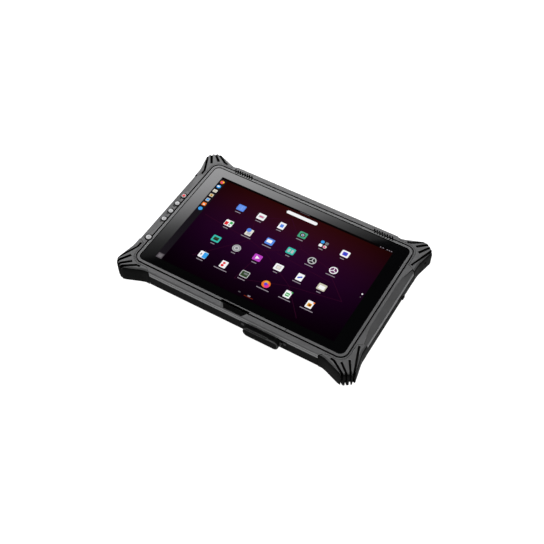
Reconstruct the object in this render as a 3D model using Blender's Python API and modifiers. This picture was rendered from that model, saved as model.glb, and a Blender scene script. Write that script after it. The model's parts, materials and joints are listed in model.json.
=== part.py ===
"""Rugged 10.1 inch field tablet (data collector), as an assembly of separate solids.

The origin lies under the tablet's middle, on the surface that it rests on. +X runs along the long edge
to the right, +Y towards the top of the screen and +Z out of the screen. Sizes here are in millimetres,
and the shape helpers turn them into metres.
"""

import math

import bmesh
import bpy
from mathutils import Matrix, Vector

MM = 0.001
GAP = 0.3  # clearance between neighbouring pieces

# Heights above the surface that the tablet rests on
BACK = 0.8  # flat back of the rear housing; the corner bumpers reach down to zero
FLOOR = 2.8  # inner side of the rear housing's floor
CHAMFER_TOP = 2.3  # where the sloped edge of the back meets the side walls
PARTING = 18.0  # top of the rear housing
FRONT_BASE = PARTING + GAP  # underside of the front housing
FRONT_TOP = 21.4
GLASS_TOP = 20.9
GLASS_THICK = 1.5
RIM_TOP = 21.6

# Half sizes in plan: (along X, along Y)
ACTIVE = (108.48, 67.8)  # 10.1 inch picture, 16:10
PANEL = (114.5, 74.8)
GLASS = (123.4, 78.65)
GLASS_RADIUS = 6.0
RIM = (126.9, 82.15)
RIM_RADIUS = 9.0
GROOVE = 1.2  # width of the dark line between the rim and the front housing
BODY = (139.4, 90.2)
WALL = 2.4  # thickness where the corners step in for the bumpers
BACK_EDGE = (138.1, 88.7)
CAVITY = (135.4, 88.0)
SEAL = (136.6, 89.1)  # outside of the seal between the two housings
LEAN_START = 14.2  # the side walls lean in above this
WALL_TOP_X = 138.4
RAILS = (
    (FRONT_BASE, (138.35, 90.2)),
    (18.9, (138.2, 90.2)),
    (20.4, (133.9, 90.0)),
    (21.1, (131.9, 88.8)),
    (FRONT_TOP, (131.05, 88.3)),
)  # height and half size up the outside of the front housing
LAND = ((130.4, 33.0), (137.05, 61.5), (130.4, 61.5))  # flat land of a bumper that runs out along a side rail

# Corner bumpers, in the +X +Y quadrant: the edge that meets the housings, and the flared outside
BUMPER_BEND = (117.65, 73.75)
BUMPER_INNER = (129.8, 85.4)
BUMPER_SIDE = ((140.0, 53.8), (129.8, 59.3))
BUMPER_TOP = ((107.5, 85.4), (100.0, 92.0))
BUMPER_FLARE = (
    (139.6, 57.0),
    (139.6, 63.5),
    (140.1, 68.0),
    (141.3, 73.5),
    (142.5, 79.0),
    (143.6, 84.5),
    (144.4, 88.1),
    (143.4, 91.3),
    (140.5, 94.1),
    (137.2, 96.6),
    (134.3, 98.3),
    (131.6, 98.7),
    (128.6, 98.1),
    (122.5, 95.7),
    (116.5, 93.4),
    (111.5, 91.5),
    (107.3, 90.3),
    (101.8, 90.3),
)
BUMPER_LEVELS = (
    (0.0, 1.2),
    (1.2, 0.3),
    (14.0, 0.0),
    (18.0, 0.5),
    (20.0, 1.3),
    (FRONT_TOP, 2.9),
)  # height, and how far the outside is moved in
BUMPER_SLOTS = (
    ((132.4, 59.8), (132.6, 66.5), (141.9, 87.8)),
    ((131.7, 79.5), (139.1, 91.4)),
    ((125.9, 85.9), (135.7, 94.6)),
    ((114.7, 87.4), (118.7, 88.0), (130.8, 96.0)),
)
STRAIGHT_SLOT = ((132.4, 59.8), (141.9, 87.8))  # takes the first slot's place on the right corners
SLOT_WIDTH = 2.3
SLOT_DEPTH = 3.4
TIP_SLOT = 1.7  # how far each slot runs into the tip, over its whole height
TIP_WIDTH = 1.9
TETHER_HOLE = (76.8, 12.5)  # along Y and Z, in the side of the top right bumper

# Keys on the left rail
KEY_X = -130.5
KEY_YS = (20.2, 7.0, -6.0, -19.2)
KEY_RADIUS = 3.4
POWER_AT = (-129.8, -49.8)
POWER_RADIUS = 3.8
KEY_PROUD = 1.1
KEY_COLLAR = 0.3  # width and height of the step round a key's crown
KEY_WELL = 0.6  # space round a key in the housing
KEY_FLANGE = 0.85
KEY_MARK = ((-3.5, -4.1), (-0.5, -5.4))  # short engraved line beside each key, measured from the key
KEY_STEPS = 20
LIGHT_X = -125.42
LIGHT_YS = (-57.3, -61.3)

# Speaker slots across the rim and the groove
SPEAKER_SLOT_X = 99.8
SPEAKER_PITCH = 3.05
SPEAKER_COUNT = 8
SPEAKER_SLANT = 2.6
SPEAKER_SLOT = 1.2

# Latch pocket for a dock, at the bottom centre
POCKET = ((-15.7, -80.3), (-10.4, -87.9), (10.4, -87.9), (15.7, -80.3))
POCKET_EDGE = ((-17.3, -80.3), (-11.9, -89.3), (11.9, -89.3), (17.3, -80.3))
POCKET_FLOOR = 16.0
POCKET_CHAMFER = 20.0  # height where the pocket's walls start to open out

# Serial port module on the bottom wall
MODULE_X = 38.8
MODULE_Z = 10.1
MODULE_HALF = (27.5, 5.1)  # frame, along X and Z
MODULE_FACE = 90.0  # how far the frame's face is from the tablet's middle
COVER_HALF = (20.9, 6.05)
COVER_BULGE = 6.7
MODULE_SCREW_DX = 24.9
COVER_HINGE = (61.3, -91.6)
KNUCKLE_RADIUS = 0.9

# Ports on the right wall, behind their cover
PORT_RECESS_X = 136.8
PORT_Z = 9.6
PORT_COVER_Y = (-30.2, 24.2)
PORT_COVER_Z = (5.6, 13.6)
PULL_TAB_Z = (8.6, 12.0)
PORT_HINGE_X = 139.9  # just outside the wall, so that the cover swings clear of its recess
PORT_FACE_X = 136.5
PORT_BACK_X = 125.4

# Battery in the back, with its two latches
BAY_X = 80.0
BAY_Y = (-62.0, 6.0)
BAY_ROOF = 10.7
LATCH_Y = -28.0
LATCH_TRAVEL = 4.0

SIDE_SCREWS = ((130.0, 40.0), (130.0, -36.0), (-130.0, 40.0), (-130.0, -36.0))
FRAME_SCREWS = ((66.0, 77.0), (-66.0, 77.0), (66.0, -77.0), (-66.0, -77.0))
CAMERA_AT = (92.0, 64.0)
FLASH_AT = (79.0, 66.0)


def new_collection(name):
    collection = bpy.data.collections.new(name)
    bpy.context.scene.collection.children.link(collection)
    return collection


for old in list(bpy.data.objects):
    bpy.data.objects.remove(old, do_unlink=True)
PARTS = new_collection("field_tablet")
CUTTERS = new_collection("cutters")


# Outlines: lists of (x, y), counterclockwise


def arc(centre, radii, start, end, steps):
    """Points along an elliptic arc, both ends included. Angles are in degrees."""
    angles = [math.radians(start + (end - start) * i / steps) for i in range(steps + 1)]
    return [(centre[0] + radii[0] * math.cos(a), centre[1] + radii[1] * math.sin(a)) for a in angles]


def rounded(half, radius, centre=(0, 0), steps=8):
    """A rectangle with round corners."""
    points = []
    for sx, sy, start in ((1, 1, 0), (-1, 1, 90), (-1, -1, 180), (1, -1, 270)):
        corner = (centre[0] + sx * (half[0] - radius), centre[1] + sy * (half[1] - radius))
        points += arc(corner, (radius, radius), start, start + 90, steps)
    return points


def grown(half, amount):
    return (half[0] + amount, half[1] + amount)


def shifted(line, distance):
    """An open line moved to its left, with mitred corners."""
    normals = []
    for (x0, y0), (x1, y1) in zip(line, line[1:]):
        length = math.hypot(x1 - x0, y1 - y0)
        normals.append(((y0 - y1) / length, (x1 - x0) / length))
    befores = [normals[0], *normals]
    afters = [*normals, normals[-1]]
    moved = []
    for (x, y), a, b in zip(line, befores, afters):
        reach = distance / (1 + a[0] * b[0] + a[1] * b[1])
        moved.append((x + (a[0] + b[0]) * reach, y + (a[1] + b[1]) * reach))
    return moved


def strip(line, width):
    """The outline of a band along an open line."""
    return shifted(line, -width / 2) + shifted(line, width / 2)[::-1]


def at_x(a, b, x):
    return (x, a[1] + (b[1] - a[1]) * (x - a[0]) / (b[0] - a[0]))


def at_y(a, b, y):
    return (a[0] + (b[0] - a[0]) * (y - a[1]) / (b[1] - a[1]), y)


def bumper_line(inset):
    """The bumper's inner edge in the +X +Y quadrant, moved towards the tablet's middle."""
    radii = (BUMPER_INNER[0] - BUMPER_BEND[0], BUMPER_INNER[1] - BUMPER_BEND[1])
    bend = arc(BUMPER_BEND, radii, 0, 90, 5)
    return shifted([*BUMPER_SIDE, *bend, *BUMPER_TOP], inset)


def core(half, inset):
    """A body outline that steps in at the corners, where the bumpers sit."""
    line = bumper_line(inset)
    line[0] = at_x(line[0], line[1], half[0])
    line[-1] = at_y(line[-2], line[-1], half[1])
    upper = line + [(-x, y) for x, y in reversed(line)]
    return upper + [(-x, -y) for x, y in upper]


def corner_clearance():
    """The area of a bumper and beyond, in the +X +Y quadrant, which the housings keep clear of."""
    line = bumper_line(GAP)
    return [line[0], (150.0, 50.0), (150.0, 110.0), (100.0, 110.0), *line[:0:-1]]


def in_quadrant(points, sx, sy):
    """Points of the +X +Y quadrant mirrored into another one, still counterclockwise."""
    turned = [(sx * x, sy * y) for x, y in points]
    return turned if sx * sy > 0 else turned[::-1]


# Solids


def add_object(name, shape):
    """An object from a bmesh, with its faces pointing out."""
    bmesh.ops.recalc_face_normals(shape, faces=shape.faces)
    mesh = bpy.data.meshes.new(name)
    shape.to_mesh(mesh)
    shape.free()
    return bpy.data.objects.new(name, mesh)


def add_loft(shape, sections):
    """Extrudes a cap through stacked outlines that have the same number of points."""
    outline, height = sections[0]
    bottom = shape.faces.new([shape.verts.new((x * MM, y * MM, height * MM)) for x, y in outline])
    cap = bottom
    for outline, height in sections[1:]:
        made = bmesh.ops.extrude_face_region(shape, geom=[cap])["geom"]
        if cap is not bottom:
            bmesh.ops.delete(shape, geom=[cap], context="FACES_ONLY")
        cap = next(item for item in made if isinstance(item, bmesh.types.BMFace))
        for vert, (x, y) in zip(cap.verts, outline):
            vert.co = (x * MM, y * MM, height * MM)


def loft(name, sections):
    shape = bmesh.new()
    add_loft(shape, sections)
    return add_object(name, shape)


def prism(name, outline, low, high):
    return loft(name, [(outline, low), (outline, high)])


def prisms(name, outlines, low, high):
    """Several separate prisms in one object, for cutting."""
    shape = bmesh.new()
    for outline in outlines:
        add_loft(shape, [(outline, low), (outline, high)])
    return add_object(name, shape)


def block(name, x, y, z):
    """A box between two values along each axis."""
    shape = bmesh.new()
    size = [(end - start) * MM for start, end in (x, y, z)]
    middle = [(end + start) / 2 * MM for start, end in (x, y, z)]
    bmesh.ops.create_cube(shape, size=1, matrix=Matrix.Translation(middle) @ Matrix.Diagonal((*size, 1)))
    return add_object(name, shape)


def cylinder(name, at, low, high, radius, axis="Z", steps=20):
    """A cylinder from low to high along an axis. at holds its place on the other two, in X, Y, Z order."""
    shape = bmesh.new()
    turns = {
        "Z": Matrix.Identity(4),
        "Y": Matrix.Rotation(math.radians(90), 4, "X"),
        "X": Matrix.Rotation(math.radians(90), 4, "Y"),
    }
    middle = (low + high) / 2
    places = {"Z": (*at, middle), "Y": (at[0], middle, at[1]), "X": (middle, *at)}
    bmesh.ops.create_cone(
        shape,
        cap_ends=True,
        segments=steps,
        radius1=radius * MM,
        radius2=radius * MM,
        depth=(high - low) * MM,
        matrix=Matrix.Translation(Vector(places[axis]) * MM) @ turns[axis],
    )
    return add_object(name, shape)


def turned_mesh(name, profile):
    """The edges of a turned piece's profile, (radius, height), from its top to its bottom."""
    shape = bmesh.new()
    verts = [shape.verts.new((radius * MM, 0, height * MM)) for radius, height in profile]
    for a, b in zip(verts, verts[1:]):
        shape.edges.new((a, b))
    mesh = bpy.data.meshes.new(name)
    shape.to_mesh(mesh)
    shape.free()
    return mesh


def turned(name, mesh, place, steps):
    """A profile turned about its own Z axis."""
    piece = bpy.data.objects.new(name, mesh)
    piece.location = Vector(place) * MM
    screw = piece.modifiers.new("turn", "SCREW")
    screw.steps = steps
    screw.render_steps = steps
    screw.use_merge_vertices = True
    screw.merge_threshold = 0.00001
    return piece


def cutter(piece):
    """Marks a helper solid that other pieces are cut or joined with."""
    CUTTERS.objects.link(piece)
    piece.hide_render = True
    piece.display_type = "WIRE"
    return piece


def combine(piece, other, operation):
    modifier = piece.modifiers.new(operation.lower(), "BOOLEAN")
    modifier.operation = operation
    modifier.solver = "EXACT"
    modifier.object = other


def cut(piece, *others):
    for other in others:
        combine(piece, other if other.users_collection else cutter(other), "DIFFERENCE")


def join(piece, *others):
    for other in others:
        combine(piece, other if other.users_collection else cutter(other), "UNION")


def move_origin(piece, place):
    """Puts the origin at a point, without moving the shape."""
    offset = Vector(place) * MM
    piece.data.transform(Matrix.Translation(-offset))
    piece.location = offset


MATERIALS = {}


def add_material(name, colour, roughness, metallic=0.0):
    material = bpy.data.materials.new(name)
    material.use_nodes = True
    shader = material.node_tree.nodes["Principled BSDF"]
    shader.inputs["Base Color"].default_value = (*colour, 1.0)
    shader.inputs["Roughness"].default_value = roughness
    shader.inputs["Metallic"].default_value = metallic
    MATERIALS[name] = material


def finish(piece, material):
    """Gives a piece its material and puts it in the tablet's collection."""
    if not piece.data.materials:
        piece.data.materials.append(MATERIALS[material])
    PARTS.objects.link(piece)
    return piece


def make_materials():
    add_material("grey_polymer", (0.075, 0.077, 0.078), 0.55)
    add_material("black_polymer", (0.012, 0.012, 0.013), 0.6)
    add_material("bumper_rubber", (0.06, 0.061, 0.062), 0.65)
    add_material("cover_rubber", (0.01, 0.01, 0.01), 0.7)
    add_material("rim_polymer", (0.1, 0.102, 0.104), 0.5)
    add_material("black_glass", (0.004, 0.004, 0.005), 0.06)
    add_material("display", (0.05, 0.004, 0.04), 0.3)
    add_material("seal_rubber", (0.02, 0.02, 0.02), 0.8)
    add_material("magnesium", (0.45, 0.46, 0.47), 0.4, 1.0)
    add_material("circuit_board", (0.01, 0.09, 0.04), 0.5)
    add_material("copper", (0.72, 0.38, 0.22), 0.35, 1.0)
    add_material("key_silver", (0.42, 0.42, 0.43), 0.35)
    add_material("light_lens", (0.6, 0.62, 0.6), 0.2)
    add_material("connector_steel", (0.5, 0.5, 0.51), 0.3, 1.0)
    add_material("screw_steel", (0.12, 0.12, 0.125), 0.35, 1.0)
    add_material("battery_case", (0.015, 0.015, 0.016), 0.6)
    add_material("lens_glass", (0.01, 0.012, 0.018), 0.05)
    add_material("ceramic", (0.55, 0.5, 0.4), 0.5)


# Front of the tablet


def speaker_slot_lines(side):
    """Middle lines of one speaker's slots: the part across the rim, and the slanted part beyond it."""
    lines = []
    for i in range(SPEAKER_COUNT):
        x = side * (SPEAKER_SLOT_X - i * SPEAKER_PITCH)
        lines.append(([(x, 79.9), (x, 83.2)], [(x, 82.4), (x - SPEAKER_SLANT, 85.6)]))
    return lines


def key_places():
    """The middle and radius of each key on the left rail."""
    return [((KEY_X, y), KEY_RADIUS) for y in KEY_YS] + [(POWER_AT, POWER_RADIUS)]


def make_glass():
    finish(
        prism("cover_glass", rounded(GLASS, GLASS_RADIUS), GLASS_TOP - GLASS_THICK, GLASS_TOP),
        "black_glass",
    )
    gasket = prism("glass_gasket", rounded(grown(GLASS, -0.3), 5.7), 18.6, 19.1)
    cut(gasket, prism("gasket_opening", rounded((118.3, 75.9), 2.0), 18, 20))
    finish(gasket, "seal_rubber")
    finish(block("display_panel", (-PANEL[0], PANEL[0]), (-PANEL[1], PANEL[1]), (14.8, 19.1)), "display")


def make_bezel():
    """The rim round the glass, with the shelf that carries the glass."""
    skirt = rounded(grown(RIM, -0.65), RIM_RADIUS - 0.65)
    outside = rounded(RIM, RIM_RADIUS)
    edge = rounded(grown(RIM, -0.35), RIM_RADIUS - 0.35)
    bezel = loft(
        "display_bezel",
        [(skirt, 17.3), (skirt, FRONT_BASE), (outside, FRONT_BASE), (outside, 21.3), (edge, RIM_TOP)],
    )
    cut(
        bezel,
        prism("bezel_window", rounded((118.0, 75.6), 2.0), 16, 23),
        prism("glass_seat", rounded(grown(GLASS, GAP), GLASS_RADIUS + GAP), FRONT_BASE, 23),
        loft(
            "latch_pocket",
            [(POCKET, POCKET_FLOOR), (POCKET, POCKET_CHAMFER), (POCKET_EDGE, FRONT_TOP), (POCKET_EDGE, 23)],
        ),
        block("microphone_gap", (59.4, 60.0), (-83.5, -79.0), (20.8, 23)),
    )
    for at, radius in key_places():
        cut(bezel, cylinder("key_relief", at, 16, 23, radius + KEY_WELL + 0.1, steps=28))
        cut(bezel, cylinder("flange_relief", at, 16, FRONT_BASE, radius + KEY_FLANGE + GAP, steps=28))
    for y in LIGHT_YS:
        cut(bezel, cylinder("light_hole", (LIGHT_X, y), 16, 23, 0.75, steps=12))
    for side in (1, -1):
        bands = [strip(across, SPEAKER_SLOT) for across, slanted in speaker_slot_lines(side)]
        cut(bezel, prisms("rim_slots", bands, 20.2, 23))
    finish(bezel, "rim_polymer")


def make_front_housing():
    housing = loft("front_housing", [(core(half, GAP), height) for height, half in RAILS])
    for sx, sy in ((1, 1), (-1, 1), (-1, -1), (1, -1)):
        join(housing, prism("land", in_quadrant(LAND, sx, sy), 19.0, FRONT_TOP))
    corners = [in_quadrant(corner_clearance(), sx, sy) for sx, sy in ((1, 1), (-1, 1), (-1, -1), (1, -1))]
    cut(housing, prisms("bumper_clearance", corners, 17, 23))
    for at in SIDE_SCREWS:
        join(housing, cylinder("front_boss", at, 12.0, 18.8, 2.6))
    opening = grown(RIM, 0.35)
    groove = grown(RIM, GROOVE)
    cut(
        housing,
        prism("front_opening", rounded(opening, RIM_RADIUS + 0.35), 17, 23),
        prism("groove", rounded(groove, RIM_RADIUS + GROOVE), 19.8, 23),
        bpy.data.objects["latch_pocket"],
    )
    for at, radius in key_places():
        cut(housing, cylinder("key_well", at, 17, 23, radius + KEY_WELL, steps=28))
        mark = [(at[0] + x, at[1] + y) for x, y in KEY_MARK]
        if radius == KEY_RADIUS:
            cut(housing, prism("key_mark", strip(mark, 0.7), 20.35, 23))
    for at in SIDE_SCREWS:
        cut(housing, cylinder("front_screw_hole", at, 11, 17.0, 1.5, steps=12))
    for side in (1, -1):
        bands = [strip(slanted, SPEAKER_SLOT) for across, slanted in speaker_slot_lines(side)]
        cut(housing, prisms("housing_slots", bands, 17, 23))
    finish(housing, "grey_polymer")


def bumper_section(inset):
    """The bumper's outline in the +X +Y quadrant, with its outer side moved in."""
    inner = bumper_line(0)
    side, top = BUMPER_FLARE[0][0] - inset, BUMPER_FLARE[-1][1] - inset
    outer = shifted(BUMPER_FLARE, inset)[1:-1]
    ends = (at_x(inner[0], inner[1], side), at_y(inner[-2], inner[-1], top))
    return [ends[0], *outer, ends[1], *inner[-2:0:-1]]


def make_bumper(name, sx, sy):
    bumper = loft(name, [(in_quadrant(bumper_section(inset), sx, sy), z) for z, inset in BUMPER_LEVELS])
    top_slots, tip_slots = [], []
    for line in BUMPER_SLOTS if sx < 0 else (STRAIGHT_SLOT, *BUMPER_SLOTS[1:]):
        before, tip = Vector(line[-2]), Vector(line[-1])
        along = (tip - before).normalized()
        end = tuple(tip + along * 8)
        top_slots.append(in_quadrant(strip([*line[:-1], end], SLOT_WIDTH), sx, sy))
        tip_slots.append(in_quadrant(strip([tuple(tip - along * TIP_SLOT), end], TIP_WIDTH), sx, sy))
    cut(bumper, prisms("top_slots", top_slots, FRONT_TOP - SLOT_DEPTH, 23))
    cut(bumper, prisms("tip_slots", tip_slots, -1, 20))
    if sx > 0 and sy > 0:
        cut(bumper, cylinder("tether_hole", TETHER_HOLE, 136, 146, 1.5, "X", 16))
    finish(bumper, "bumper_rubber")


def make_bumpers():
    for row, sy in (("top", 1), ("bottom", -1)):
        for side, sx in (("left", -1), ("right", 1)):
            make_bumper(f"corner_bumper_{row}_{side}", sx, sy)


def key_profile(radius):
    """A key from its crown to its stem, with the flange that keeps it in the housing."""
    flange = radius + KEY_FLANGE
    crown = radius - KEY_COLLAR
    return [
        (0, KEY_PROUD),
        (crown * 0.6, KEY_PROUD - 0.08),
        (crown * 0.88, KEY_PROUD - 0.3),
        (crown, KEY_PROUD - 0.6),
        (crown, KEY_COLLAR),
        (radius, KEY_COLLAR),
        (radius, -3.4),
        (flange, -3.4),
        (flange, -4.2),
        (1.0, -4.2),
        (1.0, -5.0),
        (0, -5.0),
    ]


def make_keys():
    small = turned_mesh("function_key", key_profile(KEY_RADIUS))
    for number, y in enumerate(KEY_YS, 1):
        key = turned(f"function_button_{number}", small, (KEY_X, y, FRONT_TOP), KEY_STEPS)
        finish(key, "key_silver")
    large = turned_mesh("power_key", key_profile(POWER_RADIUS))
    finish(turned("power_button", large, (*POWER_AT, FRONT_TOP), KEY_STEPS), "key_silver")
    for number, y in enumerate(LIGHT_YS, 1):
        light = cylinder(f"status_light_{number}", (LIGHT_X, y), 17.6, 21.7, 0.45, steps=12)
        finish(light, "light_lens")
    board = block("button_board", (-134.0, -127.3), (-26.0, 26.0), (13.4, 15.0))
    for y in KEY_YS:
        join(board, cylinder("dome", (KEY_X, y), 14.2, 15.3, 2.0, steps=12))
    finish(board, "circuit_board")
    finish(block("power_switch", (-133.0, -127.6), (-53.4, -47.0), (12.0, 15.2)), "circuit_board")


# Inside


def make_inside():
    chassis = prism("chassis_frame", rounded((124.1, 79.9), 8.0), 12.6, 17.0)
    cut(
        chassis,
        prism("display_seat", rounded((118.9, 76.5), 2.0), 14.4, 20),
        block("ribbon_window", (-22, 22), (24, 38), (12, 15)),
    )
    for at in FRAME_SCREWS:
        cut(chassis, cylinder("frame_screw_hole", at, 12, 14.1, 1.5, steps=12))
    finish(chassis, "magnesium")

    finish(block("main_board", (-118, 118), (11, 72.5), (9.8, 11.4)), "circuit_board")
    finish(block("heat_spreader", (-60, 60), (15, 70), (11.7, 12.3)), "copper")
    finish(block("io_board", (108, 133.6), (-29, 21), (4.6, 5.8)), "circuit_board")
    finish(block("battery_connector", (-12, 12), (6.4, 10.6), (4.0, 8.0)), "black_polymer")
    for side, sx in (("left", -1), ("right", 1)):
        across = sorted((sx * 77.0, sx * 98.5))
        finish(block(f"speaker_{side}", across, (83.0, 87.6), (8.5, 16.5)), "black_polymer")
    finish(cylinder("microphone", (59.7, -83.1), 14.6, 16.9, 1.5, steps=16), "connector_steel")
    finish(block("wireless_antenna", (-40, -8), (83.0, 87.6), (11.0, 16.0)), "black_polymer")
    finish(block("gnss_antenna", (-52, -27), (46, 71), (3.3, 8.8)), "ceramic")
    finish(block("rear_camera_module", (86.4, 97.6), (58.4, 69.6), (3.2, 8.6)), "black_polymer")

    seal = prism("housing_seal", core(SEAL, 1.8), 17.2, PARTING)
    cut(seal, prism("seal_opening", core(grown(SEAL, -0.8), 2.6), 16, 19))
    finish(seal, "seal_rubber")


# Back of the tablet


def bay_side(name, sx):
    """The solid round one battery latch, and the spaces cut into it."""
    y0, y1 = LATCH_Y - 7.3, LATCH_Y + 7.3
    around = block(name + "_boss", sorted((sx * 80.5, sx * 104.5)), (LATCH_Y - 15, LATCH_Y + 15), (1.5, 8.0))
    channel = block(name + "_channel", sorted((sx * 79.0, sx * 102.0)), (y0, y1), (3.1, 6.1))
    mouth = block(name + "_mouth", sorted((sx * 84.5, sx * 100.0)), (y0 + 1.7, y1 - 1.7), (0, 3.3))
    return around, channel, mouth


def make_rear_housing():
    levels = [(BACK, BACK_EDGE), (CHAMFER_TOP, BODY), (LEAN_START, BODY), (PARTING, (WALL_TOP_X, BODY[1]))]
    housing = loft("rear_housing", [(core(half, GAP), height) for height, half in levels])
    inner = core(CAVITY, GAP + WALL)
    cavity_floor = core(grown(CAVITY, -1.5), GAP + WALL)
    cut(housing, loft("cavity", [(cavity_floor, FLOOR), (inner, 4.5), (inner, 20.0)]))

    left, right = bay_side("left_latch", -1), bay_side("right_latch", 1)
    join(
        housing,
        block("bay_walls", (-BAY_X - 2.2, BAY_X + 2.2), (BAY_Y[0] - 2.2, BAY_Y[1] + 2.2), (1.5, 12.2)),
        left[0],
        right[0],
        block("pocket_shelf", (-19, 19), (-89.8, -80.6), (7.0, 15.7)),
        block("module_boss", (9.2, 68.8), (-89.8, -85.6), (4.2, 16.2)),
        block("port_boss", (133.9, 137.6), (-33, 27), (4.8, 15.0)),
    )
    for at in SIDE_SCREWS:
        join(housing, cylinder("side_boss", at, 1.6, 11.7, 3.4))
    for at in FRAME_SCREWS:
        join(housing, cylinder("frame_boss", at, 1.6, 12.3, 3.4))

    cut(
        housing,
        prism("seal_ledge", core(grown(SEAL, GAP), 1.5), 16.9, 20),
        block("battery_bay", (-BAY_X, BAY_X), BAY_Y, (0, BAY_ROOF)),
        block("contact_window", (-12.3, 12.3), (5.0, 9.0), (3.7, 8.3)),
        *left[1:],
        *right[1:],
        block("dock_window", (-20.3, 20.3), (-79.3, -70.7), (0, 4)),
    )
    for at in SIDE_SCREWS:
        cut(housing, cylinder("side_screw_hole", at, 2.0, 13.0, 1.5, steps=12))
        cut(housing, cylinder("side_screw_head", at, 0, 3.3, 2.5, steps=16))
    for at in FRAME_SCREWS:
        cut(housing, cylinder("frame_screw_shank", at, 2.0, 13.0, 1.5, steps=12))
        cut(housing, cylinder("frame_screw_head", at, 0, 3.3, 2.5, steps=16))
    cut(
        housing,
        cylinder("camera_seat", CAMERA_AT, 0, 2.1, 5.9, steps=24),
        cylinder("camera_hole", CAMERA_AT, 1, 4.0, 4.2, steps=24),
        cylinder("flash_seat", FLASH_AT, 0, 2.1, 2.7, steps=16),
    )
    cut_module_recess(housing)
    cut_port_recess(housing)
    finish(housing, "black_polymer")


def make_back_pieces():
    pack = block("battery_pack", (-79.7, 79.7), (BAY_Y[0] + GAP, BAY_Y[1] - GAP), (1.0, 10.4))
    for side, sx in (("left", -1), ("right", 1)):
        y0, y1 = LATCH_Y - 7.3, LATCH_Y + 7.3
        cut(pack, block(f"{side}_latch_notch", sorted((sx * 76.3, sx * 81)), (y0, y1), (3.1, 6.1)))
        tongue = sorted((sx * 76.6, sx * 97.5))
        latch = block(f"battery_latch_{side}", tongue, (LATCH_Y - 7, LATCH_Y + 7), (3.4, 5.8))
        thumb = sorted((sx * 85, sx * 95))
        slab = block(f"{side}_thumb_slab", thumb, (LATCH_Y - 5.2, LATCH_Y + 5.2), (1.1, 4.0))
        join(latch, slab)
        for step in (-3, 0, 3):
            ridge = sorted((sx * (90 + step - 0.5), sx * (90 + step + 0.5)))
            cut(latch, block("thumb_groove", ridge, (LATCH_Y - 4, LATCH_Y + 4), (0.5, 1.6)))
        finish(latch, "cover_rubber")
    finish(pack, "battery_case")
    finish(cylinder("rear_camera_window", CAMERA_AT, 1.0, 1.8, 5.6, steps=24), "lens_glass")
    finish(cylinder("flash_window", FLASH_AT, 1.0, 1.8, 2.4, steps=16), "light_lens")
    finish(block("dock_connector", (-20, 20), (-79, -71), (1.0, 5.5)), "black_polymer")


def make_screws():
    number = 1
    for places, tip in ((SIDE_SCREWS, 16.4), (FRAME_SCREWS, 13.8)):
        for x, y in places:
            head = [(2.2, 3.0), (2.2, 1.5), (1.0, 1.5), (1.0, 2.2), (0, 2.2)]
            profile = [(0, tip), (1.2, tip), (1.2, 3.0), *head]
            screw = turned(f"housing_screw_{number}", turned_mesh("screw", profile), (x, y, 0), 12)
            finish(screw, "screw_steel")
            number += 1


# Serial port module on the bottom wall


def on_bottom_wall(half, radius, inset=0.0):
    """A round-cornered outline on the module's face, before it is stood up."""
    return rounded(grown(half, -inset), radius - inset, (MODULE_X, MODULE_Z), steps=4)


def stand_up(piece):
    """Turns an upright prism so that its height runs along -Y and its plan stands in X and Z."""
    piece.data.transform(Matrix(((1, 0, 0, 0), (0, 0, -1, 0), (0, 1, 0, 0), (0, 0, 0, 1))))
    piece.data.update()
    return piece


def module_screw_places():
    return [("left", MODULE_X - MODULE_SCREW_DX), ("right", MODULE_X + MODULE_SCREW_DX)]


def at_module(x, y, z):
    """Ranges along X, Y and Z, where X and Z are measured from the module's middle."""
    return (MODULE_X + x[0], MODULE_X + x[1]), y, (MODULE_Z + z[0], MODULE_Z + z[1])


def both(half):
    return (-half, half)


def cut_module_recess(housing):
    half = grown(MODULE_HALF, GAP)
    recess = at_module(both(half[0]), (-93, -88.3), both(half[1]))
    window = at_module(both(9.6), (-92, -84), both(3.8))
    cut(housing, block("module_recess", *recess), block("connector_window", *window))
    for side, x in module_screw_places():
        cut(housing, cylinder(f"boss_hole_{side}", (x, MODULE_Z), -92, -86.3, 1.2, "Y", 12))


def make_module():
    face = MODULE_FACE
    frame = stand_up(prism("port_module_frame", on_bottom_wall(MODULE_HALF, 1.0), 88.6, face))
    cut(frame, block("frame_window", *at_module(both(15.2), (-93, -87), both(3.8))))
    for side, x in module_screw_places():
        cut(frame, cylinder(f"frame_hole_{side}", (x, MODULE_Z), -92, -88, 1.2, "Y", 12))
        cut(frame, cylinder(f"frame_sink_{side}", (x, MODULE_Z), -92, 0.8 - face, 2.1, "Y", 16))
        screw = cylinder(f"port_module_screw_{side}", (x, MODULE_Z), 0.1 - face, 0.5 - face, 1.8, "Y", 16)
        join(screw, cylinder(f"module_shank_{side}", (x, MODULE_Z), 0.3 - face, -86.6, 0.9, "Y", 12))
        finish(screw, "screw_steel")
    finish(frame, "black_polymer")

    shell = block("serial_connector", *at_module(both(9.3), (-90.0, -84.0), both(3.5)))
    cut(shell, block("shell_hollow", *at_module(both(8.5), (-92, -86.0), both(2.7))))
    join(shell, block("connector_body", *at_module(both(12.7), (-85.2, -80.6), both(4.1))))
    for row, count in ((1.1, 5), (-1.1, 4)):
        for i in range(count):
            x = MODULE_X + (i - (count - 1) / 2) * 2.8
            join(shell, cylinder("pin", (x, MODULE_Z + row), -89.2, -84.5, 0.5, "Y", 6))
    finish(shell, "connector_steel")


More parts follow.
